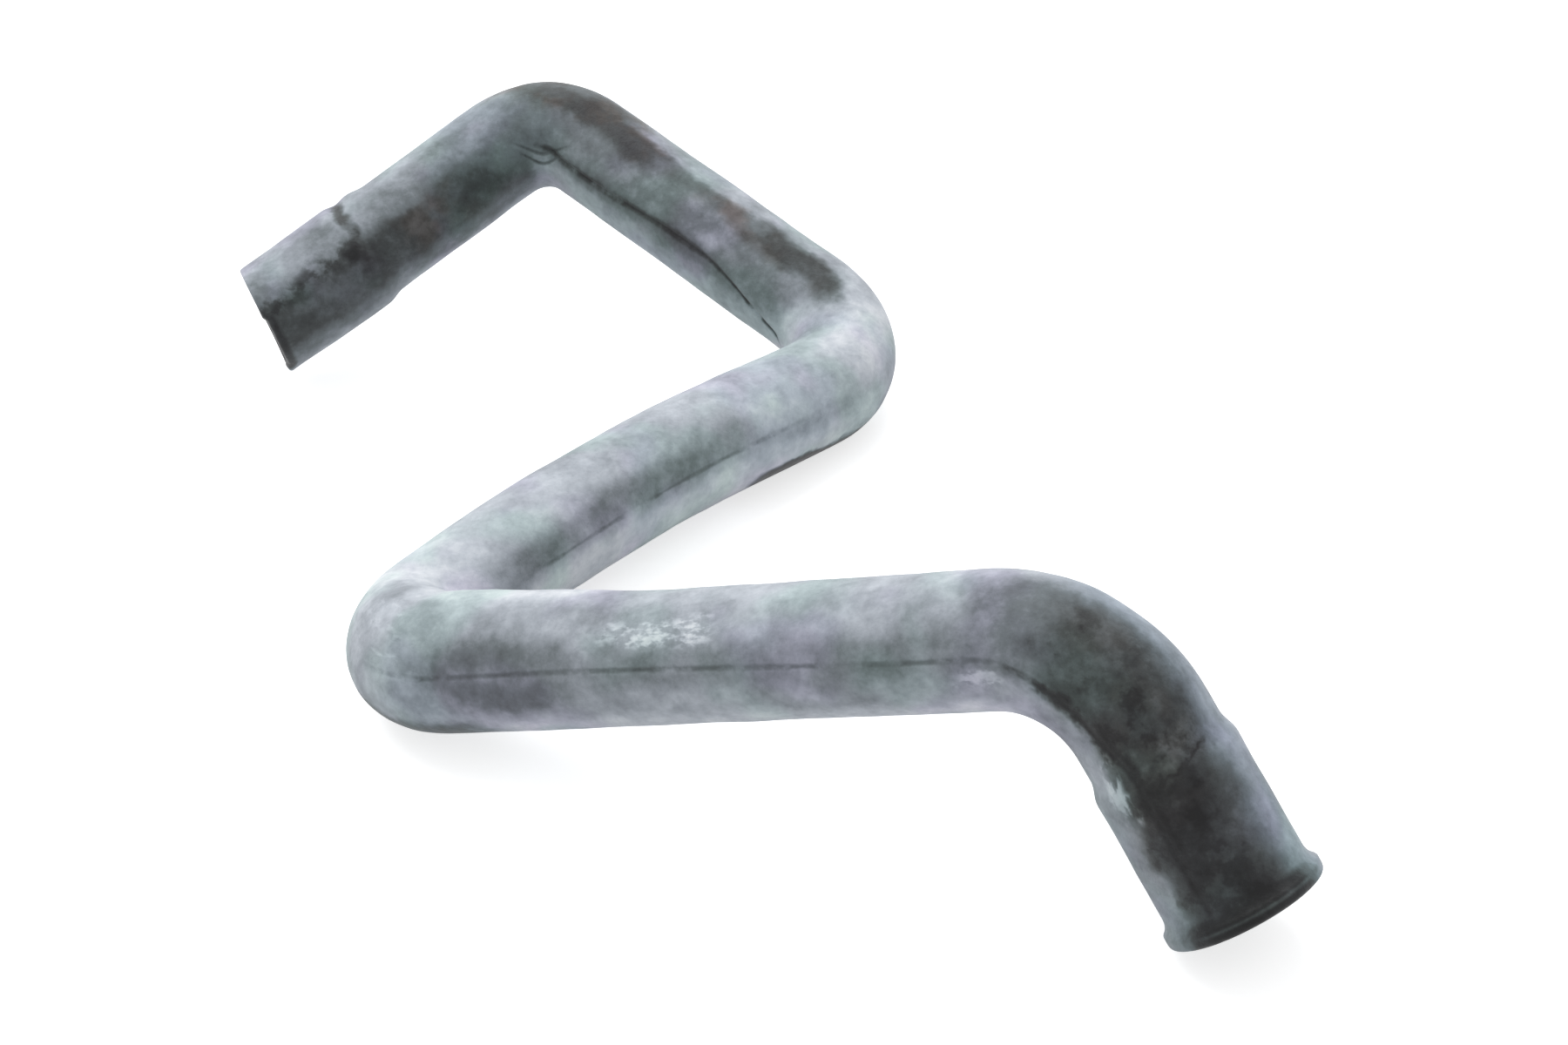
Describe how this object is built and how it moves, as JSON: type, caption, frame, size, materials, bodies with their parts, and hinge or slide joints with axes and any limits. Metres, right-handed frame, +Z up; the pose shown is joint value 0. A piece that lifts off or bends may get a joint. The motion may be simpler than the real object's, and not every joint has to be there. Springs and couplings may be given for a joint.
{
  "type": "moulded rubber air conditioning hose",
  "caption": "Preformed grey rubber air hose with five bends, a plain widened cuff at one end and a cuff with a flared lip at the other.",
  "frame": {"origin": "centre of the hose's box, on the surface that it lies on", "axes": "+Z up, +Y along the hose's longest extent, +X towards the lipped end's side"},
  "size_m": [0.2898, 0.3422, 0.0771],
  "materials": {
    "rubber": "dusty matt"
  },
  "bodies": {
    "root": {"hose": "rubber"}
  },
  "joints": []
}
